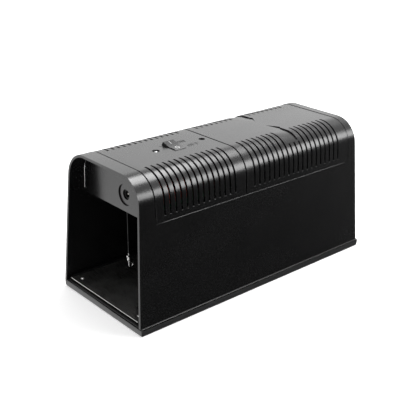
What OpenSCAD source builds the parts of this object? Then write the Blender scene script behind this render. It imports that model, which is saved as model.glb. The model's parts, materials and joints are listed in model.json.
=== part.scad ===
// Tunnel-type electronic rat trap: a drafted shell with rounded shoulders over a baited
// tunnel, a shock-plate floor, and a compartment above it for the circuit and four D cells.
// Millimetres. +Z is up, the tunnel opens towards -Y, and the origin is under the middle.

/* [Shell] */
// Length of the shell at its foot
shell_len = 290; // [280:1:300]
// Width of the shell at its foot
shell_w = 123.2; // [122:0.2:126]
// Overall height
height = 140.6; // [139.6:0.2:143]
// Radius of the two long shoulders
shoulder_r = 24.9; // [24:0.1:26]
// Draft of every outer wall, in degrees
draft = 3.4; // [3:0.1:3.6]
// Thickness of the shell wall
wall = 2.4; // [2:0.1:2.6]

/* [Base] */
// Height of the base rim
rim_h = 7.4; // [7:0.1:8]
// How far the rim stands outside the shell's foot
rim_out = 1.5; // [1:0.1:2]
// Thickness of the base floor
base_t = 2.4; // [2:0.1:2.6]

/* [Covers] */
// Seam between the front hood and the front cover
front_seam = 24; // [24:0.5:25]
// Seam between the front cover and the battery cover
mid_seam = 129.2; // [129:0.1:129.6]
// Seam between the battery cover and the rear hood
rear_seam = 272.7; // [272:0.1:274]
// Width of the front and middle seams
seam_gap = 1.6; // [0.6:0.1:1.8]
// Width of the rear seam
rear_gap = 0.5; // [0.4:0.1:1]
// Height of the ledge that the covers' skirts stand on
ledge_z = 98.6; // [98.4:0.1:98.8]
// Thickness of the covers
cover_t = 2.2; // [2:0.1:2.3]

/* [Vent slots] */
// Width of a slot
slot_w = 2.1; // [1.5:0.1:2.2]
// Distance of a slot's upper end from the middle
slot_top_x = 27.4; // [26:0.2:29]
// Distance from the middle of the short slots below the finger grips
short_slot_x = 47; // [46:0.2:48]
// Height of a slot's lower end
slot_foot_z = 104.2; // [103:0.2:106]
// Slots on each side of the front cover
front_slots = 14; // [8:1:14]
// Place of its first slot
front_slot_y = 34; // [33:0.2:35]
// Spacing of its slots
front_pitch = 6.25; // [6:0.05:6.4]
// Slots on each side of the battery cover
rear_slots = 19; // [12:1:19]
// Place of its first slot
rear_slot_y = 139.8; // [139:0.2:141]
// Spacing of its slots
rear_pitch = 6.49; // [6.3:0.01:6.6]

/* [Controls] */
// Place of the status light
led_y = 67; // [60:1:68]
// Place of the rocker switch
switch_y = 87.5; // [86:0.5:90]
// Place of the front cover's screw
cover_screw_y = 121.5; // [120:0.5:122]
// Tilt of the rocker each side of its middle, in degrees
rocker_tilt = 8; // [6:0.5:9]
// Distance of the power jack from the middle
jack_x = 12; // [10:0.5:16]
// Height of the power jack
jack_z = 112.4; // [112:0.2:113]

/* [Hidden] */
$fn = 64;

plastic = [0.13, 0.13, 0.14];
inner_plastic = [0.08, 0.08, 0.09];
steel = [0.72, 0.73, 0.75];
touch = 0.01;
out = 1;

// Shell geometry
half_w = shell_w / 2;
arc_z = height - shoulder_r;
arc_x = half_w - arc_z * tan(draft) - shoulder_r / cos(draft);
front_y = rim_h * tan(draft);
origin_y = (front_y + shell_len + rim_out) / 2;
cover_in = 0.35;
lip_in = cover_in + cover_t + 0.15;
lip_t = 1.4;
tray_in = wall + 0.15;
tray_z = ledge_z - 2;

// Base and deck
rim_wall = 4.2;
deck_z = 10.4;
deck_t = 1.4;
flange_t = deck_z - deck_t - rim_h;
plate_t = 0.6;
plate_half = 54;
plates = [[3, 86], [92, 175], [181, 264]];
base_boss_z = 4.4;
base_screw_x = 44;
base_screws_y = [20, 146, 272];
base_head_z = 2.9;

// Tray
fascia_y = 23.2;
fascia_t = 2.6;
divider_y = mid_seam - 1;
divider_t = 2;
bay_rear_y = 265;
tray_end_y = 271;
tray_screw_x = 48.2;
tray_screws_y = [40, 122, 258];
post_x = 37;
posts_y = [34, 108];
board_z = ledge_z + 3.8;
board_t = 1.6;
board_top = board_z + board_t;

// Batteries
cell_r = 16.6;
cell_len = 61.5;
cell_x = 17.6;
cell_z = ledge_z + 0.6 + cell_r;
contact_t = 0.4;
bay_front_y = divider_y + divider_t;
row_start = bay_front_y + contact_t + 0.2;
row_end = bay_rear_y - contact_t - 0.2;

// Rocker switch
pivot_z = height - 3.6;
rocker_r = 10.6;
rocker_half_y = 6;
rocker_mid_h = 4;
rocker_foot = 3;
rocker_pin_r = 0.8;
housing_half_x = 12;
housing_half_y = 7.8;
housing_floor = 8;
opening_half_x = rocker_r + 0.15;
opening_half_y = rocker_half_y + 0.35;

// Bait hook
hook_y = 33.5;
hook_z = 93.6;
hook_pin_r = 0.8;
hook_foot_z = 33.5;

// Places everything measured from the shell's front foot
module seat() {
  translate([0, -origin_y, 0]) children();
}

// Outline across the shell, set in by a wall thickness
module outline(inset) {
  r = shoulder_r - inset;
  foot = half_w - inset / cos(draft);
  side_x = arc_x + r * cos(draft);
  side_z = arc_z + r * sin(draft);
  polygon([[-foot, 0], [foot, 0], [side_x, side_z], [arc_x, height - inset],
           [-arc_x, height - inset], [-side_x, side_z]]);
  for (side = [-1, 1])
    translate([side * arc_x, arc_z]) circle(r = r, $fn = 96);
}

// The outline drawn out along Y
module bar(inset, from, to) {
  translate([0, to, 0]) rotate([90, 0, 0]) linear_extrude(to - from) outline(inset);
}

// A shape given in Y and Z, drawn out across X
module across(half, points) {
  translate([-half, 0, 0]) rotate([90, 0, 90]) linear_extrude(2 * half) polygon(points);
}

// The drafted front and rear faces, moved in at the front and at the rear
module ends(front_in, rear_in) {
  lean = height * tan(draft);
  across(half_w + out, [[front_in, 0], [shell_len - rear_in, 0],
    [shell_len - rear_in - lean, height], [front_in + lean, height]]);
}

// A box given by its lowest and highest corners
module block(low, high) {
  translate(low) cube(high - low);
}

// The same children on both sides of the middle
module both_sides() {
  children();
  mirror([1, 0, 0]) children();
}

// A screw with its head's underside at z = 0 and its point down
module screw(head_r, head_h, shank_r, length) {
  difference() {
    cylinder(r = head_r, h = head_h);
    for (turn = [0, 90]) rotate(turn)
      block([-head_r * 0.6, -head_r * 0.13, head_h * 0.45], [head_r * 0.6, head_r * 0.13, head_h + out]);
  }
  translate([0, 0, -length]) cylinder(r = shank_r, h = length + touch);
}

/* Base: a shallow moulded tray whose rim carries the shell */
module rim_solid() {
  shoulder = rim_h - 1.2;
  foot = half_w + rim_out - 0.7;
  top = half_w + rim_out - 0.8;
  bulge = half_w + rim_out;
  rear = shell_len + rim_out;
  intersection() {
    translate([0, rear + out, 0]) rotate([90, 0, 0]) linear_extrude(rear + 2 * out)
      polygon([[-foot, 0], [foot, 0], [bulge, shoulder], [top, rim_h], [-top, rim_h], [-bulge, shoulder]]);
    across(half_w + 3 * out, [[1, 0], [rear - 0.7, 0], [rear, shoulder], [rear - 0.8, rim_h],
      [1.3, rim_h], [0.7, shoulder]]);
  }
}

module base_tray() {
  inner = half_w + rim_out - rim_wall;
  color(plastic) seat() difference() {
    union() {
      difference() {
        rim_solid();
        block([-inner, rim_wall + 1, base_t], [inner, shell_len + rim_out - rim_wall, rim_h + out]);
      }
      for (y = [60, 104, 188, 232])
        block([-inner, y - 0.8, base_t - touch], [inner, y + 0.8, base_boss_z]);
      both_sides() for (y = base_screws_y)
        translate([base_screw_x, y, 0]) cylinder(r = 4.6, h = base_boss_z);
    }
    both_sides() for (y = base_screws_y) translate([base_screw_x, y, 0]) {
      translate([0, 0, -out]) cylinder(r = 3.2, h = base_head_z + out);
      cylinder(r = 1.6, h = base_boss_z + out);
    }
  }
}

/* Deck: the insulating floor that keeps the shock plates apart */
module floor_deck() {
  half = half_w - deck_z * tan(draft) - wall - 0.5;
  rear = shell_len - wall - 1.4;
  underside = deck_z - deck_t;
  color(inner_plastic) seat() difference() {
    union() {
      block([-half, 5, underside], [half, rear, deck_z]);
      block([-51, 5, rim_h + 0.1], [51, 7, underside + touch]);
      for (i = [0, 1])
        block([-half, plates[i][1] + 1, deck_z - touch], [half, plates[i + 1][0] - 1, deck_z + 1.4]);
      for (x = [-22, 22])
        block([x - 0.8, 8, base_boss_z], [x + 0.8, shell_len - 12, underside + touch]);
      both_sides() for (y = base_screws_y)
        translate([base_screw_x, y, base_boss_z]) cylinder(r = 3.6, h = underside - base_boss_z + touch);
    }
    both_sides() for (y = base_screws_y)
      translate([base_screw_x, y, base_boss_z - out]) cylinder(r = 1.3, h = 6);
    for (plate = plates) both_sides() for (y = [plate[0] + 8, plate[1] - 8])
      translate([plate_half - 8, y, 0]) cylinder(r = 1.2, h = height / 2);
    block([45.4, 277, 0], [52.5, 283, height / 2]);
  }
}

/* Shock plates: three stainless sheets, each riveted at its corners */
module shock_plate(index) {
  plate = plates[index];
  color(steel) seat() difference() {
    block([-plate_half, plate[0], deck_z], [plate_half, plate[1], deck_z + plate_t]);
    both_sides() for (y = [plate[0] + 8, plate[1] - 8])
      translate([plate_half - 8, y, 0]) cylinder(r = 1.2, h = height / 2);
  }
}
module shock_plate_front() { shock_plate(0); }
module shock_plate_middle() { shock_plate(1); }
module shock_plate_rear() { shock_plate(2); }

module plate_rivets() {
  color(steel) seat() for (plate = plates) both_sides() for (y = [plate[0] + 8, plate[1] - 8])
    translate([plate_half - 8, y, 0]) {
      translate([0, 0, deck_z - deck_t]) cylinder(r = 1.2, h = deck_t + plate_t + touch);
      translate([0, 0, deck_z + plate_t]) intersection() {
        cylinder(r = 2.6, h = 1.1);
        translate([0, 0, -2.5]) sphere(r = 3.6);
      }
    }
}

/* Shell: side walls, front hood, rear hood and rear wall in one moulding */
module tunnel_space() {
  intersection() {
    bar(wall, -out, shell_len);
    ends(-height, wall);
  }
}

module scent_vents() {
  for (x = [-24, 0, 24]) for (row = [0 : 5])
    block([x - 9, shell_len - 14, 26 + row * 9], [x + 9, shell_len + out, 28.4 + row * 9]);
}

module inside_band(from, to, low, high, reach) {
  edge = half_w - high * tan(draft) - wall - reach;
  intersection() {
    bar(wall - touch, from, to);
    both_sides() block([edge, from, low], [half_w, to, high]);
  }
}

module outer_shell() {
  color(plastic) seat() difference() {
    union() {
      difference() {
        intersection() {
          bar(0, 0, shell_len);
          ends(0, 0);
        }
        tunnel_space();
      }
      inside_band(8, shell_len - 6, rim_h, rim_h + flange_t, 6.5);
      inside_band(26.4, tray_end_y, tray_z - 2.8, tray_z, 3);
      for (y = tray_screws_y) inside_band(y - 4.5, y + 4.5, tray_z - 12, tray_z, 9.4);
    }
    block([-half_w - out, -out, -out], [half_w + out, shell_len + out, rim_h]);
    block([-half_w, front_seam - seam_gap / 2, ledge_z], [half_w, rear_seam + rear_gap / 2, height + out]);
    both_sides() for (y = tray_screws_y)
      translate([tray_screw_x, y, tray_z - 11]) cylinder(r = 1.3, h = 12);
    both_sides() for (y = base_screws_y)
      translate([base_screw_x, y, rim_h - out]) cylinder(r = 4, h = 3);
    scent_vents();
  }
}

/* Tray: tunnel ceiling, fascia, divider and battery bay in one moulding */
module cell_cradle(y) {
  difference() {
    block([-cell_x - cell_r - 1, y - 1, ledge_z - touch], [cell_x + cell_r + 1, y + 1, ledge_z + 11]);
    for (side = [-1, 1]) translate([side * cell_x, y + 2, cell_z]) rotate([90, 0, 0])
      cylinder(r = cell_r + 0.2, h = 4);
  }
}

module jack_hole() {
  translate([jack_x, fascia_y - out, jack_z]) rotate([-90, 0, 0]) {
    cylinder(r = 10, h = out + 1.2);
    cylinder(r = 4.8, h = 2 * out + fascia_t);
  }
}

module compartment_tray() {
  bay_half = cell_x + cell_r + 1;
  color(plastic) seat() difference() {
    union() {
      intersection() {
        bar(tray_in, fascia_y, tray_end_y);
        block([-half_w, fascia_y, tray_z], [half_w, tray_end_y, ledge_z]);
      }
      intersection() {
        bar(tray_in, fascia_y, fascia_y + fascia_t);
        block([-half_w, fascia_y, tray_z], [half_w, fascia_y + fascia_t, height]);
      }
      intersection() {
        difference() {
          bar(lip_in, fascia_y + fascia_t - touch, tray_end_y);
          bar(lip_in + lip_t, 0, shell_len);
        }
        block([-half_w, 0, ledge_z - touch], [half_w, shell_len, ledge_z + 3.6]);
      }
      for (span = [[divider_y, divider_y + divider_t], [tray_end_y - 1.6, tray_end_y]])
        intersection() {
          bar(lip_in, span[0], span[1]);
          block([-half_w, 0, ledge_z - touch], [half_w, shell_len, height]);
        }
      block([-bay_half, bay_rear_y, ledge_z - touch], [bay_half, bay_rear_y + 2, cell_z + 12]);
      both_sides() block([bay_half, divider_y + 1, ledge_z - touch],
                         [bay_half + 1.8, bay_rear_y + 2, cell_z + 2]);
      for (y = [148, 182, 214, 248]) cell_cradle(y);
      both_sides() for (y = posts_y)
        translate([post_x, y, ledge_z - touch]) cylinder(r = 3.4, h = board_z - ledge_z + touch);
      translate([0, cover_screw_y, ledge_z - touch]) cylinder(r = 4, h = 32);
      both_sides() block([1.6, hook_y - 2.6, hook_z - 2.4], [3.6, hook_y + 2.6, tray_z + touch]);
    }
    jack_hole();
    both_sides() for (y = tray_screws_y)
      translate([tray_screw_x, y, tray_z - out]) cylinder(r = 1.6, h = 6);
    both_sides() for (y = posts_y)
      translate([post_x, y, ledge_z + 0.4]) cylinder(r = 1.1, h = 6);
    translate([0, cover_screw_y, ledge_z + 8]) cylinder(r = 1.4, h = 30);
    translate([-6, hook_y, hook_z]) rotate([0, 90, 0]) cylinder(r = hook_pin_r, h = 12);
    block([-30, divider_y - out, ledge_z + 2], [-24, divider_y + divider_t + out, ledge_z + 8]);
    block([24, divider_y - out, ledge_z + 2], [30, divider_y + divider_t + out, ledge_z + 8]);
    block([46.5, 268.5, tray_z - out], [49.5, 269.3, ledge_z + out]);
  }
}

/* Covers: two drafted caps with vent slots over their shoulders */
module cover_shape(from, to) {
  difference() {
    bar(cover_in, from, to);
    bar(cover_in + cover_t, from - out, to + out);
    block([-half_w, from - out, -out], [half_w, to + out, ledge_z + 0.05]);
  }
}

module slot(y, top_x) {
  both_sides() block([top_x, y - slot_w / 2, slot_foot_z], [half_w, y + slot_w / 2, height + out]);
}

module cover_rib(y) {
  intersection() {
    difference() {
      bar(cover_in + cover_t - 0.1, y - 0.8, y + 0.8);
      bar(cover_in + cover_t + 1.6, y - 2, y + 2);
    }
    block([-slot_top_x, y - 2, arc_z], [slot_top_x, y + 2, height]);
  }
}

module front_cover() {
  from = front_seam + seam_gap / 2;
  to = mid_seam - seam_gap / 2;
  skin = height - cover_in - cover_t;
  color(plastic) seat() difference() {
    union() {
      cover_shape(from, to);
      cover_rib(45);
      translate([0, cover_screw_y, skin - 7]) cylinder(r = 5, h = 7 + touch);
      translate([0, led_y, skin - 6]) cylinder(r = 4.6, h = 6 + touch);
    }
    for (i = [0 : front_slots - 1]) slot(front_slot_y + i * front_pitch, slot_top_x);
    block([-opening_half_x, switch_y - opening_half_y, skin - out],
          [opening_half_x, switch_y + opening_half_y, height + out]);
    translate([0, led_y, skin]) cylinder(r = 3.5, h = 5);
    translate([0, led_y, skin - 8]) cylinder(r = 2.55, h = 10);
    translate([0, cover_screw_y, skin - 4.6]) cylinder(r = 3.1, h = 9);
    translate([0, cover_screw_y, skin - 8]) cylinder(r = 1.6, h = 9);
  }
}

// A finger grip: the surface dips to a step that runs across and then back to the middle
module grip_plan(grow) {
  translate([0, 0, arc_z]) linear_extrude(shoulder_r + 2 * out)
    polygon([[5 - grow, 197.8], [19.5, 206.5 + grow], [21.5, 205 + grow], [46 + grow, 205 + grow],
             [46 + grow, 174 - grow], [5 - grow, 190]]);
}

module grip_dip() {
  turn = 23;
  dip = 4.8;
  outward = 0.6;
  intersection() {
    grip_plan(0);
    difference() {
      bar(cover_in - out, 165, 215);
      translate([7, 199, height - cover_in]) rotate(-turn) rotate([-dip, 0, 0]) rotate(turn)
        translate([outward - 7, -199, -height + cover_in]) bar(cover_in, 150, 240);
    }
  }
}

module grip_backing() {
  intersection() {
    grip_plan(1.6);
    difference() {
      bar(cover_in + cover_t - 0.1, 170, 209);
      bar(cover_in + cover_t + 1.8, 160, 220);
    }
  }
}

module battery_cover() {
  from = mid_seam + seam_gap / 2;
  to = rear_seam - rear_gap / 2;
  color(plastic) seat() difference() {
    union() {
      cover_shape(from, to);
      both_sides() grip_backing();
      for (y = [152, 172, 224, 250]) cover_rib(y);
    }
    both_sides() grip_dip();
    for (i = [0 : rear_slots - 1])
      slot(rear_slot_y + i * rear_pitch, (i < 8 || i > 10) ? slot_top_x : short_slot_x);
  }
}

module front_cover_screw() {
  color(steel) seat() translate([0, cover_screw_y, height - cover_in - cover_t - 4.6])
    screw(2.8, 2.2, 1.4, 18);
}

/* Rocker switch */
module rocker_frame(angle) {
  translate([0, switch_y, pivot_z]) rotate([0, angle, 0]) children();
}

module along_y(half) {
  translate([0, half, 0]) rotate([90, 0, 0]) linear_extrude(2 * half) children();
}

module power_rocker() {
  rise = rocker_r * tan(rocker_tilt);
  color(inner_plastic) seat() rocker_frame(rocker_tilt) union() {
    intersection() {
      along_y(rocker_half_y)
        polygon([[-rocker_r, -rocker_foot], [rocker_r, -rocker_foot], [rocker_r, rocker_mid_h + rise],
                 [0, rocker_mid_h], [-rocker_r, rocker_mid_h + rise]]);
      along_y(rocker_half_y + out) circle(r = rocker_r, $fn = 96);
    }
    along_y(rocker_half_y + 1.2) circle(r = rocker_pin_r, $fn = 48);
  }
}

module switch_housing() {
  top = height - cover_in - cover_t;
  color(inner_plastic) seat() difference() {
    translate([0, switch_y, 0])
      block([-housing_half_x, -housing_half_y, pivot_z - housing_floor - 1.6],
            [housing_half_x, housing_half_y, top]);
    translate([0, switch_y, 0])
      block([-opening_half_x, -opening_half_y, pivot_z - housing_floor],
            [opening_half_x, opening_half_y, top + out]);
    rocker_frame(0) along_y(housing_half_y + out) circle(r = rocker_pin_r + 0.05, $fn = 48);
  }
}

module switch_terminals() {
  top = pivot_z - housing_floor - 1.6;
  color([0.8, 0.72, 0.45]) seat() for (x = [-6, 0]) difference() {
    block([x - 0.4, switch_y - 2.4, top - 8], [x + 0.4, switch_y + 2.4, top]);
    translate([x - 2, switch_y, top - 5.4]) rotate([0, 90, 0]) cylinder(r = 0.8, h = 4);
  }
}

module switch_leads() {
  top = pivot_z - housing_floor - 9.6;
  color([0.1, 0.1, 0.1]) seat() for (x = [-6, 0])
    translate([x, switch_y, board_top]) cylinder(r = 0.9, h = top - board_top, $fn = 24);
}

/* Status light */
module status_led() {
  skin = height - cover_in - cover_t;
  color([0.85, 0.9, 0.95]) seat() translate([0, led_y, skin]) {
    translate([0, 0, -6]) cylinder(r = 2.5, h = 5.2);
    translate([0, 0, -0.8]) sphere(r = 2.5);
    translate([0, 0, -7]) cylinder(r = 2.9, h = 1 + touch);
  }
}

module led_leads() {
  foot = height - cover_in - cover_t - 7;
  color(steel) seat() for (x = [-1.27, 1.27])
    translate([x, led_y, board_top]) cylinder(r = 0.3, h = foot - board_top, $fn = 24);
}

/* Circuit */
module control_board() {
  color([0.05, 0.3, 0.14]) seat() difference() {
    block([-42, 28.5, board_z], [42, 114, board_top]);
    both_sides() for (y = posts_y) translate([post_x, y, board_z - out]) cylinder(r = 1.3, h = 4);
  }
}

module hv_transformer() {
  color([0.2, 0.2, 0.22]) seat() translate([-22, 58, board_top]) {
    difference() {
      block([-15, -11, 0], [15, 11, 24]);
      block([-10, -12, 5], [-4, 12, 19]);
      block([4, -12, 5], [10, 12, 19]);
    }
    translate([-7, 0, 12]) cube([5.6, 26, 13.6], center = true);
    translate([7, 0, 12]) cube([5.6, 26, 13.6], center = true);
  }
}

module hv_capacitors() {
  color([0.75, 0.2, 0.12]) seat() for (i = [0 : 2])
    translate([24, 52 + i * 11, board_top]) block([-12, -4, 0], [12, 4, 15]);
}

module board_components() {
  color([0.15, 0.16, 0.3]) seat() translate([0, 0, board_top]) {
    for (x = [-34, -22]) translate([x, 92, 0]) cylinder(r = 5, h = 14);
    block([14, 92, 0], [26, 100, 2.4]);
    block([-12, 76, 0], [-8, 84, 16]);
    for (i = [0 : 3]) translate([32 - i * 5, 106, 1.3]) rotate([90, 0, 0]) cylinder(r = 1.2, h = 7, $fn = 32);
    translate([30, 36, 0]) cylinder(r = 4, h = 9);
  }
}

module dc_jack() {
  front = fascia_y + fascia_t + 0.1;
  color(inner_plastic) seat() difference() {
    block([jack_x - 5.6, front, board_top], [jack_x + 5.6, front + 13.5, jack_z + 6]);
    translate([jack_x, front - out, jack_z]) rotate([-90, 0, 0]) cylinder(r = 3.2, h = 10 + out);
  }
}

module dc_jack_pin() {
  front = fascia_y + fascia_t + 0.1;
  color(steel) seat() translate([jack_x, front + 1.4, jack_z]) rotate([-90, 0, 0]) {
    cylinder(r = 1.05, h = 8.6);
    sphere(r = 1.05);
  }
}

/* Batteries: two rows of two D cells, facing opposite ways */
module cell(row, order) {
  // row -1 points to the rear, row 1 to the front
  start = row < 0 ? row_end - (2 - order) * cell_len : row_start + (order + 1) * cell_len;
  color([0.35, 0.36, 0.38]) seat() translate([row * cell_x, start, cell_z]) rotate([row * 90, 0, 0])
    rotate_extrude($fn = 96)
      polygon([[0, 0], [14.6, 0], [cell_r, 1], [cell_r, 58.4], [15.2, 59.6], [14.6, 59.6],
               [14.6, 59.2], [4.75, 59.2], [4.75, 61], [4.2, 61.5], [0, 61.5]]);
}
module battery_cell_1() { cell(-1, 0); }
module battery_cell_2() { cell(-1, 1); }
module battery_cell_3() { cell(1, 0); }
module battery_cell_4() { cell(1, 1); }

spring_len = row_end - row_start - 2 * cell_len;
spring_turns = 5;

// A contact spring: turns that narrow from the plate to the cell
module contact_spring(row) {
  wire = 0.55;
  pitch = (spring_len + 0.2 - 2 * wire) / (spring_turns - 1);
  from = row < 0 ? row_start - 0.2 + wire : row_end + 0.2 - wire;
  color(steel) seat() for (i = [0 : spring_turns - 1])
    translate([row * cell_x, from - row * i * pitch, cell_z]) rotate([90, 0, 0])
      rotate_extrude() translate([8.5 - i * 0.9, 0]) circle(r = wire, $fn = 16);
}
module battery_spring_front() { contact_spring(-1); }
module battery_spring_rear() { contact_spring(1); }

module battery_contacts() {
  color(steel) seat() {
    for (side = [-1, 1])
      block([side * cell_x - 11, bay_front_y, cell_z - 11],
            [side * cell_x + 11, bay_front_y + contact_t, cell_z + 11]);
    block([-cell_x - 11, bay_rear_y - contact_t, cell_z - 11], [cell_x + 11, bay_rear_y, cell_z + 11]);
  }
}

module battery_leads() {
  low = ledge_z + 6.8;
  reach = bay_front_y - 110;
  color([0.6, 0.05, 0.05]) seat() for (side = [-1, 1]) {
    translate([side * 27, bay_front_y, low]) rotate([90, 0, 0]) cylinder(r = 0.8, h = reach, $fn = 24);
    translate([side * 27, bay_front_y - reach, board_top])
      cylinder(r = 1.1, h = low + 0.9 - board_top, $fn = 24);
  }
}

/* Bait hook: it hangs from a pin under the ceiling and swings */
module bait_hook() {
  barrel_z = 41.5;
  curl_r = 2.2;
  color(steel) seat() translate([0, hook_y, 0]) {
    difference() {
      translate([-0.9, 0, hook_z]) rotate([0, 90, 0]) cylinder(r = 2.1, h = 1.8);
      translate([-2, 0, hook_z]) rotate([0, 90, 0]) cylinder(r = hook_pin_r + 0.05, h = 4);
    }
    translate([0, 0, barrel_z]) cylinder(r = 0.6, h = hook_z - barrel_z - 1.6);
    translate([0, -1.9, barrel_z + 3.4]) rotate([-90, 0, 0]) cylinder(r = 0.8, h = 3.8);
    translate([0, 0, barrel_z]) rotate_extrude() intersection() {
      translate([-2.4, 0]) circle(r = 4.1, $fn = 96);
      translate([0, -3]) square([3, 6]);
    }
    translate([0, 0, barrel_z - 5]) cylinder(r = 0.6, h = 4);
    translate([0, curl_r, hook_foot_z + curl_r]) rotate([0, 90, 0]) rotate_extrude(angle = 360)
      translate([curl_r, 0]) circle(r = 0.6, $fn = 24);
  }
}

module hook_pin() {
  color(steel) seat() translate([-4.4, hook_y, hook_z]) rotate([0, 90, 0]) cylinder(r = hook_pin_r, h = 8.8);
}

/* High-voltage wiring from the board to the plates, behind a channel on the rear wall */
module wire_duct() {
  low = deck_z;
  high = tray_z;
  color(inner_plastic) seat() intersection() {
    difference() {
      block([43.4, 275, low], [half_w, 286, high]);
      block([45, 276.6, low - out], [half_w, 288, high + out]);
    }
    bar(wall + 0.05, 270, shell_len);
    ends(0, wall + 0.05);
  }
}

module hv_leads() {
  color([0.5, 0.06, 0.05]) seat() for (i = [0 : 1])
    translate([47 + i * 2.6, 279, base_boss_z]) cylinder(r = 0.9, h = tray_z - 6 - base_boss_z, $fn = 24);
}

/* Fasteners */
module base_screws() {
  color(steel) seat() both_sides() for (y = base_screws_y)
    translate([base_screw_x, y, base_head_z]) mirror([0, 0, 1]) screw(2.8, 2, 1.3, 6.4);
}

module tray_screws() {
  color(steel) seat() both_sides() for (y = tray_screws_y)
    translate([tray_screw_x, y, ledge_z]) screw(2.7, 1.8, 1.3, 12);
}

module board_screws() {
  color(steel) seat() both_sides() for (y = posts_y)
    translate([post_x, y, board_top]) screw(2.4, 1.6, 1.1, 4.8);
}

base_tray();
floor_deck();
shock_plate_front();
shock_plate_middle();
shock_plate_rear();
plate_rivets();
outer_shell();
compartment_tray();
front_cover();
battery_cover();
front_cover_screw();
switch_housing();
power_rocker();
switch_terminals();
switch_leads();
status_led();
led_leads();
control_board();
hv_transformer();
hv_capacitors();
board_components();
dc_jack();
dc_jack_pin();
battery_cell_1();
battery_cell_2();
battery_cell_3();
battery_cell_4();
battery_spring_front();
battery_spring_rear();
battery_contacts();
battery_leads();
bait_hook();
hook_pin();
wire_duct();
hv_leads();
base_screws();
tray_screws();
board_screws();
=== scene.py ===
"""An electronic tunnel trap for rats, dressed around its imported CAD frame."""
import json
import math

import bmesh
import bpy
from mathutils import Matrix, Vector, bvhtree


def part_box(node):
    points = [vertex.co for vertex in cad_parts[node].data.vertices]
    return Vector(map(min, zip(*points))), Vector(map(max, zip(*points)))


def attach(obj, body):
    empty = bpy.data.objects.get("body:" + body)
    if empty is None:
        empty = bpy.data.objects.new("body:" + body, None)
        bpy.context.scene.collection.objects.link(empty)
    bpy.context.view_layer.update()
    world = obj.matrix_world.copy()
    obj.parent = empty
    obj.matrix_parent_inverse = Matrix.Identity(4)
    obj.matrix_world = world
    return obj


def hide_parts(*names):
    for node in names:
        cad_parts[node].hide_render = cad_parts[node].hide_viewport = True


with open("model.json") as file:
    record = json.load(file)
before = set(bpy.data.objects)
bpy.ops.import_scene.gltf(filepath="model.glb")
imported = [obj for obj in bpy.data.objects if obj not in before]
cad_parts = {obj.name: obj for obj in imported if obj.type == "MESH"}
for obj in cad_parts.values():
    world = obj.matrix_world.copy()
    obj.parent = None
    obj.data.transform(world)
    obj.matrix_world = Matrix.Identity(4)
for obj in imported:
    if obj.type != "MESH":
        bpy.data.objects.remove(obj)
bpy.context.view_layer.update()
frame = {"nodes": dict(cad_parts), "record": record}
nodes = frame["nodes"]
MM = 0.001


# ---------------------------------------------------------------- camera and studio

def add_camera(aim, azimuth, elevation, roll, distance, lens):
    """A camera that looks at aim; azimuth 0 looks along +Y and turns towards -X."""
    forward = Vector((
        -math.sin(azimuth) * math.cos(elevation),
        math.cos(azimuth) * math.cos(elevation),
        -math.sin(elevation),
    ))
    data = bpy.data.cameras.new("view")
    data.lens = lens
    data.sensor_width = 36
    camera = bpy.data.objects.new("view", data)
    turn = forward.to_track_quat("-Z", "Y") @ Matrix.Rotation(roll, 3, "Z").to_quaternion()
    camera.rotation_euler = turn.to_euler()
    camera.location = aim - forward * distance
    bpy.context.scene.collection.objects.link(camera)
    bpy.context.scene.camera = camera


def add_softbox(name, direction, distance, size, power, target=Vector((0, 0, 0.07))):
    """A rectangular lamp that lies in a direction from the target, and faces it."""
    data = bpy.data.lights.new(name, "AREA")
    data.shape = "RECTANGLE"
    data.size, data.size_y = size
    data.energy = power
    light = bpy.data.objects.new(name, data)
    light.location = target + Vector(direction).normalized() * distance
    light.rotation_euler = (target - light.location).to_track_quat("-Z", "Y").to_euler()
    bpy.context.scene.collection.objects.link(light)


def add_world(level, glows):
    """A dim surround with soft glows: (direction, brightness, where it starts, where it is full)."""
    world = bpy.data.worlds.new("studio")
    world.use_nodes = True
    tree = world.node_tree
    direction = tree.nodes.new("ShaderNodeTexCoord").outputs["Generated"]
    total = None
    for toward, brightness, start, full in glows:
        dot = tree.nodes.new("ShaderNodeVectorMath")
        dot.operation = "DOT_PRODUCT"
        dot.inputs[1].default_value = Vector(toward).normalized()
        tree.links.new(direction, dot.inputs[0])
        ramp = tree.nodes.new("ShaderNodeMapRange")
        ramp.interpolation_type = "SMOOTHSTEP"
        limits = {"From Min": start, "From Max": full, "To Min": 0, "To Max": brightness}
        for key, value in limits.items():
            ramp.inputs[key].default_value = value
        tree.links.new(dot.outputs["Value"], ramp.inputs["Value"])
        add = tree.nodes.new("ShaderNodeMath")
        add.inputs[1].default_value = level
        if total is not None:
            tree.links.new(total, add.inputs[1])
        tree.links.new(ramp.outputs["Result"], add.inputs[0])
        total = add.outputs[0]
    background = tree.nodes["Background"]
    background.inputs["Color"].default_value = (1, 1, 1, 1)
    tree.links.new(total, background.inputs["Strength"])
    bpy.context.scene.world = world


add_camera(
    aim=Vector((-5.8, -10.7, 63.6)) * MM,
    azimuth=math.radians(48.82),
    elevation=math.radians(23.13),
    roll=math.radians(0.6),
    distance=0.7983,
    lens=69.2,
)

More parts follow.
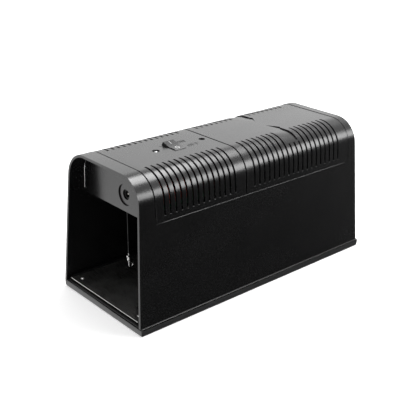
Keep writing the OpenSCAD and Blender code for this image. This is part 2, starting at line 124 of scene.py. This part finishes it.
# What each part of the trap mirrors at the photo's view: the fascia, the top, the dip between the
# right shoulder's streaks, the edges that face the camera, and the rear end of the right wall.
GLOWS = [
    ((-0.69, -0.62, -0.36), 1.58, 0.55, 0.95),
    ((-0.75, 0.55, 0.3), 0.9, 0.5, 0.9),
    ((0.25, 0.66, 0.72), 1.1, 0.7, 0.97),
    ((0.6, -0.7, 0.4), 0.9, 0.55, 0.9),
    ((0.42, 0.89, -0.18), 0.36, 0.945, 1.0),
]
SURROUND = 0.03
add_world(SURROUND, GLOWS)
add_softbox("softbox_over", (-0.05, 0.446, 0.895), 1.6, (0.9, 0.6), 19.5)
add_softbox("softbox_right", (0.7, 0.62, 0.37), 1.6, (0.8, 0.55), 15)
add_softbox("softbox_back", (-0.77, 0.53, 0.42), 1.8, (1.9, 0.9), 4.4)
add_softbox("softbox_top", (-0.1, -0.1, 1), 2.2, (2.6, 2.6), 30)
bpy.context.scene.view_settings.view_transform = "Standard"


# ---------------------------------------------------------------- material helpers

def scaled(colour, factor):
    """The same colour, made lighter or darker."""
    return tuple(c * factor for c in colour[:3]) + (1,)


class Shader:
    """A Principled material with a few node helpers."""

    def __init__(self, name, **inputs):
        self.material = bpy.data.materials.new(name)
        self.material.use_nodes = True
        self.tree = self.material.node_tree
        self.bsdf = self.tree.nodes["Principled BSDF"]
        self.place = self.tree.nodes.new("ShaderNodeTexCoord").outputs["Object"]
        for key, value in inputs.items():
            self.bsdf.inputs[key.replace("_", " ")].default_value = value

    def node(self, kind, **settings):
        made = self.tree.nodes.new("ShaderNode" + kind)
        for key, value in settings.items():
            setattr(made, key, value)
        return made

    def link(self, source, target):
        self.tree.links.new(source, target)

    def noise(self, scale, detail=3.0, stretch=None, roughness=0.55):
        """Noise in the piece's own metres, squeezed or stretched along its axes."""
        made = self.node("TexNoise")
        made.inputs["Scale"].default_value = scale
        made.inputs["Detail"].default_value = detail
        made.inputs["Roughness"].default_value = roughness
        if stretch:
            mapping = self.node("Mapping")
            mapping.inputs["Scale"].default_value = stretch
            self.link(self.place, mapping.inputs["Vector"])
            self.link(mapping.outputs["Vector"], made.inputs["Vector"])
        else:
            self.link(self.place, made.inputs["Vector"])
        return made.outputs["Fac"]

    def spread(self, value, low, high, start=0.3, stop=0.7):
        """Maps a value that goes from start to stop onto low to high."""
        made = self.node("MapRange")
        made.inputs["From Min"].default_value = start
        made.inputs["From Max"].default_value = stop
        made.inputs["To Min"].default_value = low
        made.inputs["To Max"].default_value = high
        self.link(value, made.inputs["Value"])
        return made.outputs["Result"]

    def mix(self, factor, first, second):
        made = self.node("Mix", data_type="RGBA")
        for slot, value in (("A", first), ("B", second)):
            socket = [s for s in made.inputs if s.name == slot and s.type == "RGBA"][0]
            if isinstance(value, tuple):
                socket.default_value = value
            else:
                self.link(value, socket)
        self.link(factor, made.inputs["Factor"])
        return [s for s in made.outputs if s.type == "RGBA"][0]

    def math(self, operation, first, second=None):
        made = self.node("Math", operation=operation)
        for socket, value in zip(made.inputs, (first, second)):
            if value is None:
                continue
            if isinstance(value, (int, float)):
                socket.default_value = value
            else:
                self.link(value, socket)
        return made.outputs[0]

    def axis(self, index):
        """The X, Y or Z of the point."""
        split = self.node("SeparateXYZ")
        self.link(self.place, split.inputs[0])
        return split.outputs[index]

    def bump(self, layers):
        """Stacks (height, depth in metres, strength) layers of bump."""
        normal = None
        for height, depth, strength in layers:
            made = self.node("Bump")
            made.inputs["Strength"].default_value = strength
            made.inputs["Distance"].default_value = depth
            self.link(height, made.inputs["Height"])
            if normal is not None:
                self.link(normal, made.inputs["Normal"])
            normal = made.outputs["Normal"]
        self.link(normal, self.bsdf.inputs["Normal"])

    def edges(self, radius=0.0005):
        """How close a point lies to an edge, from 0 to 1."""
        rounded = self.node("Bevel", samples=4)
        rounded.inputs["Radius"].default_value = radius
        dot = self.node("VectorMath", operation="DOT_PRODUCT")
        self.link(rounded.outputs["Normal"], dot.inputs[0])
        self.link(self.node("NewGeometry").outputs["Normal"], dot.inputs[1])
        return self.spread(dot.outputs["Value"], 1, 0, 0.85, 0.99)

    def set(self, name, value):
        """Feeds an input of the Principled shader."""
        self.link(value, self.bsdf.inputs[name])


def moulded_plastic(name, colour, worn, rough, grain=0.00004):
    """Moulded plastic: fine spark-eroded grain, slow waviness, handling smears, rubbed edges."""
    s = Shader(name, IOR=1.5)
    cloud = s.noise(38, 4)
    tint = s.mix(s.spread(cloud, 0, 1), colour, scaled(colour, 1.35))
    s.set("Base Color", s.mix(s.math("MULTIPLY", s.edges(), 0.5), tint, worn))
    smear = s.noise(14, 5, stretch=(1.0, 0.35, 1.0))
    smeared = s.spread(smear, rough - 0.035, rough + 0.045)
    speckle = s.spread(s.noise(900, 2), -0.02, 0.02)
    s.set("Roughness", s.math("ADD", smeared, speckle))
    s.bump([
        (s.noise(6500, 2), grain, 0.05),
        (s.noise(24, 2), 0.0006, 0.06),
    ])
    return s.material


def brushed_metal(name, colour, rough):
    """Metal with a fine brushed grain that runs along X, and a few smudges."""
    s = Shader(name, Metallic=1.0)
    grain = s.noise(5200, 3, stretch=(0.02, 1, 1))
    cloud = s.noise(30, 4)
    s.set("Base Color", s.mix(s.spread(cloud, 0, 1), scaled(colour, 0.78), colour))
    brushed = s.spread(grain, rough - 0.07, rough + 0.09)
    smudged = s.spread(cloud, -0.04, 0.05)
    s.set("Roughness", s.math("ADD", brushed, smudged))
    s.bump([(grain, 0.00003, 0.35)])
    return s.material


def plated_metal(name, colour, rough):
    """Plated or drawn metal: bright, with faint mottling."""
    s = Shader(name, Metallic=1.0)
    cloud = s.noise(420, 4)
    s.set("Base Color", s.mix(s.spread(cloud, 0, 1), scaled(colour, 0.85), colour))
    s.set("Roughness", s.spread(cloud, rough - 0.06, rough + 0.08))
    s.bump([(s.noise(2600, 2), 0.00002, 0.2)])
    return s.material


SHELL_BLACK = (0.0026, 0.0026, 0.0027, 1)
SHELL_RUBBED = (0.03, 0.03, 0.031, 1)
BASE_BLACK = (0.012, 0.012, 0.0123, 1)
BASE_RUBBED = (0.04, 0.04, 0.04, 1)
INNER_BLACK = (0.004, 0.004, 0.0042, 1)
INNER_RUBBED = (0.012, 0.012, 0.012, 1)
ROCKER_BLACK = (0.006, 0.006, 0.0062, 1)
ROCKER_RUBBED = (0.03, 0.03, 0.03, 1)
shell_plastic = moulded_plastic("shell_plastic", SHELL_BLACK, SHELL_RUBBED, 0.25)
base_plastic = moulded_plastic("base_plastic", BASE_BLACK, BASE_RUBBED, 0.42)
inner_plastic = moulded_plastic("inner_plastic", INNER_BLACK, INNER_RUBBED, 0.5)
rocker_plastic = moulded_plastic("rocker_plastic", ROCKER_BLACK, ROCKER_RUBBED, 0.26, grain=0.00001)
stainless = brushed_metal("stainless", (0.62, 0.62, 0.61, 1), 0.3)
screw_steel = plated_metal("screw_steel", (0.5, 0.5, 0.51, 1), 0.32)
nickel = plated_metal("nickel", (0.62, 0.6, 0.56, 1), 0.24)
brass = plated_metal("brass", (0.72, 0.54, 0.25, 1), 0.3)


def hook_wire(split):
    """Spring wire: coloured dark above the height split, bright below it."""
    s = Shader("hook_steel", Metallic=1.0)
    cloud = s.noise(420, 4)
    bright = s.mix(s.spread(cloud, 0, 1), (0.55, 0.55, 0.54, 1), (0.72, 0.72, 0.71, 1))
    dark = s.mix(s.spread(cloud, 0, 1), (0.03, 0.03, 0.031, 1), (0.06, 0.06, 0.06, 1))
    below = s.spread(s.axis(2), 1, 0, split - 0.5 * MM, split + 0.5 * MM)
    s.set("Base Color", s.mix(below, dark, bright))
    s.set("Roughness", s.spread(cloud, 0.16, 0.3))
    s.bump([(s.noise(2600, 2), 0.00002, 0.2)])
    return s.material


def circuit_board():
    """Green solder mask over copper tracks, with tinned pads."""
    s = Shader("circuit_board", IOR=1.5)
    track = s.node("TexBrick", offset=0.37)
    track.inputs["Scale"].default_value = 95
    track.inputs["Mortar Size"].default_value = 0.012
    track.inputs["Color1"].default_value = (0, 0, 0, 1)
    track.inputs["Color2"].default_value = (0.1, 0.1, 0.1, 1)
    track.inputs["Mortar"].default_value = (1, 1, 1, 1)
    s.link(s.place, track.inputs["Vector"])
    pad = s.node("TexVoronoi")
    pad.inputs["Scale"].default_value = 260
    s.link(s.place, pad.inputs["Vector"])
    tinned = s.spread(pad.outputs["Distance"], 1, 0, 0.1, 0.14)
    mask = s.mix(track.outputs["Color"], (0.004, 0.05, 0.02, 1), (0.012, 0.12, 0.045, 1))
    s.set("Base Color", s.mix(tinned, mask, (0.6, 0.6, 0.58, 1)))
    s.set("Metallic", tinned)
    s.set("Roughness", s.spread(s.noise(300), 0.25, 0.4))
    s.bump([(track.outputs["Fac"], 0.00003, 0.5), (s.noise(1500), 0.00002, 0.3)])
    return s.material


def cast_case(name, colour, rough, grain_scale=900, depth=0.00004):
    """A moulded or dipped component: mottled colour, fine grain, slightly uneven gloss."""
    s = Shader(name, IOR=1.52)
    cloud = s.noise(160, 4)
    s.set("Base Color", s.mix(s.spread(cloud, 0, 1), colour, scaled(colour, 1.6)))
    s.set("Roughness", s.spread(s.noise(240), rough - 0.08, rough + 0.08))
    s.bump([(s.noise(grain_scale, 3), depth, 0.35)])
    return s.material


def led_lens():
    """A domed lens coloured near white as a painted highlight, standing in for the bright reflection
    a clear lens shows; glossy and faintly mottled.
    """
    s = Shader("led_lens", IOR=1.5, Coat_Weight=1.0, Coat_Roughness=0.03)
    cloud = s.noise(700, 2)
    # Painted highlight: this near-white colour stands in for a clear lens's bright reflection.
    s.set("Base Color", s.mix(s.spread(cloud, 0, 1), (0.72, 0.74, 0.76, 1), (0.95, 0.95, 0.95, 1)))
    s.set("Roughness", s.spread(cloud, 0.08, 0.2))
    s.bump([(s.noise(1200, 2), 0.00001, 0.2)])
    return s.material


def lead_insulation():
    """PVC insulation: red on the right-hand lead, black on the left-hand one."""
    s = Shader("lead_insulation", IOR=1.5)
    cloud = s.noise(300, 3)
    red = s.mix(s.spread(cloud, 0, 1), (0.13, 0.006, 0.005, 1), (0.2, 0.009, 0.007, 1))
    black = s.mix(s.spread(cloud, 0, 1), (0.008, 0.008, 0.008, 1), (0.02, 0.02, 0.02, 1))
    s.set("Base Color", s.mix(s.spread(s.axis(0), 0, 1, -0.001, 0.001), black, red))
    s.set("Roughness", s.spread(cloud, 0.25, 0.4))
    s.bump([(s.noise(1500, 2), 0.00002, 0.3)])
    return s.material


def cell_can(name, start, length):
    """A dry cell: a printed steel sleeve, banded from its foot at start along Y, with bare ends."""
    s = Shader(name, IOR=1.5, Coat_Weight=0.5, Coat_Roughness=0.1)
    along = s.math("DIVIDE", s.math("SUBTRACT", s.axis(1), start), length)
    cloud = s.noise(220, 3)
    sleeve = s.mix(s.spread(cloud, 0, 1), (0.01, 0.05, 0.13, 1), (0.016, 0.075, 0.18, 1))
    band = s.mix(s.spread(cloud, 0, 1), (0.5, 0.51, 0.52, 1), (0.6, 0.6, 0.61, 1))
    past_start = s.spread(along, 0, 1, 0.7, 0.705)
    before_end = s.spread(along, 1, 0, 0.86, 0.865)
    in_band = s.math("MULTIPLY", past_start, before_end)
    printed = s.mix(in_band, sleeve, band)
    at_foot = s.spread(along, 1, 0, 0.03, 0.035)
    at_head = s.spread(along, 0, 1, 0.945, 0.95)
    bare = s.math("MAXIMUM", at_foot, at_head)
    steel = s.mix(s.spread(cloud, 0, 1), (0.5, 0.49, 0.47, 1), (0.62, 0.61, 0.59, 1))
    s.set("Base Color", s.mix(bare, printed, steel))
    s.set("Metallic", s.math("MAXIMUM", bare, in_band))
    s.set("Roughness", s.spread(s.noise(500), 0.22, 0.36))
    s.bump([(s.noise(900, 2), 0.00002, 0.25)])
    return s.material


def printed_white():
    """White marking paint with slightly worn patches."""
    s = Shader("white_print", IOR=1.5)
    cloud = s.noise(1200, 3)
    s.set("Base Color", s.mix(s.spread(cloud, 0, 1), (0.6, 0.6, 0.6, 1), (0.85, 0.85, 0.85, 1)))
    s.set("Roughness", s.spread(cloud, 0.4, 0.6))
    s.bump([(cloud, 0.00001, 0.2)])
    return s.material


# How far up from the bait hook's foot the bright part of the wire reaches
HOOK_CLIP = 15 * MM
BY_SLOT = {
    "shell_plastic": shell_plastic,
    "inner_plastic": inner_plastic,
    "rocker_plastic": rocker_plastic,
    "stainless": stainless,
    "screw_steel": screw_steel,
    "nickel": nickel,
    "brass": brass,
    "hook_steel": hook_wire(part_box("bait_hook")[0].z + HOOK_CLIP),
    "led_lens": led_lens(),
    "circuit_board": circuit_board(),
    "ferrite": cast_case("ferrite", (0.018, 0.018, 0.02, 1), 0.6, 500, 0.00012),
    "capacitor_case": cast_case("capacitor_case", (0.2, 0.022, 0.008, 1), 0.25, 240, 0.0002),
    "component_case": cast_case("component_case", (0.006, 0.009, 0.03, 1), 0.3),
    "lead_insulation": lead_insulation(),
}


SHARP_ANGLE = 28
WELD_REACH = 0.000004


def angle_shading():
    """A node group that shades smooth, except over edges sharper than a limit."""
    group = bpy.data.node_groups.new("angle_shading", "GeometryNodeTree")
    group.interface.new_socket("Geometry", in_out="INPUT", socket_type="NodeSocketGeometry")
    group.interface.new_socket("Geometry", in_out="OUTPUT", socket_type="NodeSocketGeometry")
    start = group.nodes.new("NodeGroupInput")
    stop = group.nodes.new("NodeGroupOutput")
    smooth = group.nodes.new("GeometryNodeSetShadeSmooth")
    sharp = group.nodes.new("GeometryNodeSetShadeSmooth")
    sharp.domain = "EDGE"
    sharp.inputs["Shade Smooth"].default_value = False
    angle = group.nodes.new("GeometryNodeInputMeshEdgeAngle")
    compare = group.nodes.new("FunctionNodeCompare")
    compare.operation = "GREATER_THAN"
    compare.inputs["B"].default_value = math.radians(SHARP_ANGLE)
    group.links.new(start.outputs[0], smooth.inputs["Geometry"])
    group.links.new(smooth.outputs[0], sharp.inputs["Geometry"])
    group.links.new(angle.outputs["Unsigned Angle"], compare.inputs["A"])
    group.links.new(compare.outputs[0], sharp.inputs["Selection"])
    group.links.new(sharp.outputs[0], stop.inputs[0])
    return group


shading = angle_shading()


def dress(name, material, bevel):
    """Gives a CAD node its material and smooth shading, and rounds its edges by bevel mm."""
    piece = nodes[name]
    piece.data.materials.clear()
    piece.data.materials.append(material)
    weld = piece.modifiers.new("weld", "WELD")
    weld.merge_threshold = WELD_REACH
    piece.modifiers.new("shading", "NODES").node_group = shading
    if bevel:
        round_off = piece.modifiers.new("round", "BEVEL")
        round_off.width = bevel * MM
        round_off.segments = 2
        round_off.limit_method = "ANGLE"
        round_off.angle_limit = math.radians(SHARP_ANGLE)
        round_off.use_clamp_overlap = True
        normals = piece.modifiers.new("normals", "WEIGHTED_NORMAL")
        normals.weight = 100
        normals.keep_sharp = False


slot_of = {row["node"]: row["material_slot"] for row in frame["record"]["subparts"]}

# Bevel widths in mm. Every other node keeps its CAD edges.
BEVELS = {
    "compartment_tray": 0.3,
    "base_tray": 1.2,
    "floor_deck": 0.3,
    "power_rocker": 0.5,
    "shock_plate_front": 0.12,
    "shock_plate_middle": 0.12,
    "shock_plate_rear": 0.12,
}

# Which way along Y each cell lies, from its foot to its head
CELLS = {"battery_cell_1": -1, "battery_cell_2": -1, "battery_cell_3": 1, "battery_cell_4": 1}


def finish_for(name):
    """The material of a CAD node."""
    if name in CELLS:
        low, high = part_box(name)
        foot = low.y if CELLS[name] > 0 else high.y
        return cell_can(name + "_sleeve", foot, CELLS[name] * (high.y - low.y))
    if name == "base_tray":
        return base_plastic
    return BY_SLOT[slot_of[name]]


for name in nodes:
    dress(name, finish_for(name), BEVELS.get(name, 0))


# ---------------------------------------------------------------- marks, lips, sills and springs

DOME = 0.6


def add_piece(name, mesh, material, body):
    """Adds a finished mesh as a piece that rides on a body."""
    for face in mesh.polygons:
        face.use_smooth = True
    mesh.materials.append(material)
    piece = bpy.data.objects.new(name, mesh)
    bpy.context.scene.collection.objects.link(piece)
    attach(piece, body)
    return piece


def sweep(bm, path, radius, sides=10, closed=False, up=Vector((0, 0, 1))):
    """Sweeps a circle of that radius along a path of points, with domed or joined ends."""
    rings = []
    count = len(path)
    for i, point in enumerate(path):
        before = path[i - 1] if closed or i > 0 else point
        after = path[(i + 1) % count] if closed or i < count - 1 else point
        ahead = (after - before).normalized()
        side = ahead.cross(up)
        if side.length < 0.01:
            side = ahead.cross(Vector((1, 0, 0)))
        side.normalize()
        lift = side.cross(ahead).normalized()
        turn = [2 * math.pi * k / sides for k in range(sides)]
        rim = [point + radius * (side * math.cos(a) + lift * math.sin(a)) for a in turn]
        rings.append([bm.verts.new(spot) for spot in rim])
    pairs = list(zip(rings, rings[1:] + rings[:1]))
    if not closed:
        pairs = pairs[:-1]
    for first, second in pairs:
        for k in range(sides):
            bm.faces.new((first[k], first[(k + 1) % sides], second[(k + 1) % sides], second[k]))
    if not closed:
        for ring, way in ((rings[0], -1), (rings[-1], 1)):
            near = path[0] if way < 0 else path[-1]
            far = path[1] if way < 0 else path[-2]
            tip = bm.verts.new(near + (near - far).normalized() * radius * DOME)
            for k in range(sides):
                bm.faces.new((ring[k], ring[(k + 1) % sides], tip))
    bmesh.ops.recalc_face_normals(bm, faces=bm.faces)


def mesh_from(bm, name):
    """The finished mesh of a bmesh, which is freed."""
    mesh = bpy.data.meshes.new(name)
    bm.to_mesh(mesh)
    bm.free()
    return mesh


def surface_of(node):
    """A function that drops a plan point in mm onto a node's top, and gives the point in metres."""
    tree = bvhtree.BVHTree.FromObject(nodes[node], bpy.context.evaluated_depsgraph_get())
    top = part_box(node)[1].z + 10 * MM

    def drop(x, y, sink=0.0):
        hit, normal, _, _ = tree.ray_cast(Vector((x * MM, y * MM, top)), Vector((0, 0, -1)))
        return hit - normal * sink * MM
    return drop


def ring_points(cx, cy, rx, ry, count=28):
    """Plan points round an ellipse."""
    turn = [2 * math.pi * k / count for k in range(count)]
    return [(cx + rx * math.cos(a), cy + ry * math.sin(a)) for a in turn]


def fine(points, step=0.5):
    """Splits a plan polyline into short steps."""
    out = [points[0]]
    for first, second in zip(points, points[1:]):
        length = math.dist(first, second)
        count = max(1, round(length / step))
        for k in range(1, count + 1):
            t = k / count
            out.append((first[0] + t * (second[0] - first[0]), first[1] + t * (second[1] - first[1])))
    return out


def strokes(name, node, lines, radius, sink, material, body):
    """Raised strokes on a node's top: lines of (plan points in mm, whether it is closed)."""
    drop = surface_of(node)
    bm = bmesh.new()
    for points, closed in lines:
        plan = points if closed else fine(points)
        sweep(bm, [drop(x, y, sink) for x, y in plan], radius * MM, 8, closed)
    add_piece(name, mesh_from(bm, name), material, body)


rocker_low, rocker_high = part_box("power_rocker")
rocker_y = (rocker_low.y + rocker_high.y) / 2 / MM
white_print = printed_white()
bar = [(-7.6, rocker_y), (-3.2, rocker_y)]
ring = ring_points(5.2, rocker_y, 2.2, 1.8)
strokes("rocker_mark_on", "power_rocker", [(bar, False)], 0.4, 0.32, white_print, "rocker")
strokes("rocker_mark_off", "power_rocker", [(ring, True)], 0.36, 0.25, white_print, "rocker")


def lettering(name, word, across, along, height=4.8, width=3.4, gap=1.5):
    """Raised capitals on the front cover, read from the +X side: across is their middle in X,
    and along is where the first one starts in Y, both in mm."""
    shapes = {
        "O": [(ring_points(0.5, 0.5, 0.5, 0.5), True)],
        "N": [([(0, 0), (0, 1), (1, 0), (1, 1)], False)],
        "F": [([(0, 0), (0, 1), (1, 1)], False), ([(0, 0.52), (0.85, 0.52)], False)],
    }
    lines = []
    for i, letter in enumerate(word):
        left = along + i * (width + gap)
        for points, closed in shapes[letter]:
            plan = [(across + height * (0.5 - v), left + width * u) for u, v in points]
            lines.append((plan, closed))
    strokes(name, "front_cover", lines, 0.42, 0.16, shell_plastic, "housing")


behind = rocker_high.y / MM
ahead = rocker_low.y / MM
lettering("letters_on", "ON", -6.6, behind + 2.2)
lettering("letters_off", "OFF", 6.6, behind + 4.4)
pointer = [(-8.2, ahead - 3.4), (-6.6, ahead - 1.8), (-5, ahead - 3.4)]
strokes("rocker_pointer", "front_cover", [(pointer, False)], 0.3, 0.12, shell_plastic, "housing")


# The lips and sills, in mm and degrees: how far they stand out or in, their radii, how far the
# lips run on past the covers, and the walls' draft.
LIP_OUT = 0.1
LIP_R = 0.32
LIP_AHEAD = 1.2
LIP_BEHIND = 0.3
LIP_STEPS = 24
SILL_IN = 0.22
SILL_R = 0.42
SILL_STEP = 0.4
SLOT_FOOT_UP = 5.6
DRAFT = 3.4


def add_ledge_lips():
    """A rounded lip along the top edge of each shell wall, where the covers sit in from it."""
    front_low, front_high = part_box("front_cover")
    rear_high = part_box("battery_cover")[1]
    start = front_low.y - LIP_AHEAD * MM
    stop = rear_high.y + LIP_BEHIND * MM
    bm = bmesh.new()
    for side in (-1, 1):
        x = side * (front_high.x + LIP_OUT * MM)
        along = [start + (stop - start) * i / LIP_STEPS for i in range(LIP_STEPS + 1)]
        path = [Vector((x, y, front_low.z)) for y in along]
        sweep(bm, path, LIP_R * MM, 12)
    add_piece("ledge_lips", mesh_from(bm, "ledge_lips"), shell_plastic, "housing")


def add_sills(name, node, body, first, pitch, count):
    """A rounded sill across the foot of each vent slot in a cover: the first slot lies that far
    behind the cover's front edge, in mm."""
    low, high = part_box(node)
    bm = bmesh.new()
    up = SLOT_FOOT_UP * MM
    lean = up * math.tan(math.radians(DRAFT))
    for side in (-1, 1):
        x = side * (high.x - lean - SILL_IN * MM)
        for i in range(count):
            y = low.y + (first + i * pitch) * MM
            path = [Vector((x, y + k * SILL_STEP * MM, low.z + up)) for k in (-2, -1, 0, 1, 2)]
            sweep(bm, path, SILL_R * MM, 10)
    add_piece(name, mesh_from(bm, name), shell_plastic, body)


add_ledge_lips()
add_sills("slot_sills_front", "front_cover", "housing", first=9.2, pitch=6.25, count=14)
add_sills("slot_sills_rear", "battery_cover", "battery_cover", first=9.8, pitch=6.49, count=19)


TURNS = 4.5
WIRE_R = 0.5 * MM
STEPS_A_TURN = 32
SPRING_GAP = 0.02 * MM
TAPER = 0.56
FLAT_END = 0.1


def add_spring(name, node, wide_at_front):
    """A conical contact spring in the space of a CAD node, wide against its contact plate. The
    first and last tenth of its wire lie flat."""
    low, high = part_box(node)
    middle = (low + high) / 2
    wide = (high.x - low.x) / 2 - WIRE_R - SPRING_GAP
    narrow = wide * TAPER
    count = round(TURNS * STEPS_A_TURN)
    ends = (low.y + WIRE_R, high.y - WIRE_R)
    start, stop = ends if wide_at_front else reversed(ends)
    path = []
    for i in range(count + 1):
        t = i / count
        climb = min(max((t - FLAT_END) / (1 - 2 * FLAT_END), 0), 1)
        r = wide + (narrow - wide) * t
        a = 2 * math.pi * TURNS * t
        y = start + (stop - start) * climb
        path.append(Vector((middle.x + r * math.cos(a), y, middle.z + r * math.sin(a))))
    bm = bmesh.new()
    sweep(bm, path, WIRE_R, 8, up=Vector((0, 1, 0)))
    spring = add_piece(name, mesh_from(bm, name), nickel, "housing")
    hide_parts(node)


add_spring("contact_spring_front", "battery_spring_front", True)
add_spring("contact_spring_rear", "battery_spring_rear", False)


# ---------------------------------------------------------------- floor

FLOOR_SIZE = 60
FLOOR_SINK = 0.0002
FLOOR_NEAR = 0.6
FLOOR_FAR = 1.8


def add_floor():
    """Pale paper that takes soft shadows near the trap, and glows white away from it."""
    bpy.ops.mesh.primitive_plane_add(size=FLOOR_SIZE, location=(0, 0, -FLOOR_SINK))
    floor = bpy.context.object
    floor.name = "floor"
    s = Shader("floor_paper", Roughness=0.9)
    cloud = s.noise(3, 3)
    s.set("Base Color", s.mix(s.spread(cloud, 0, 1), (0.86, 0.86, 0.86, 1), (0.9, 0.9, 0.9, 1)))
    s.bsdf.inputs["Specular IOR Level"].default_value = 0.1
    s.bsdf.inputs["Emission Color"].default_value = (1, 1, 1, 1)
    away = s.node("VectorMath", operation="LENGTH")
    s.link(s.place, away.inputs[0])
    s.set("Emission Strength", s.spread(away.outputs["Value"], 0.35, 0.95, FLOOR_NEAR, FLOOR_FAR))
    floor.data.materials.append(s.material)
    floor.visible_glossy = False


add_floor()
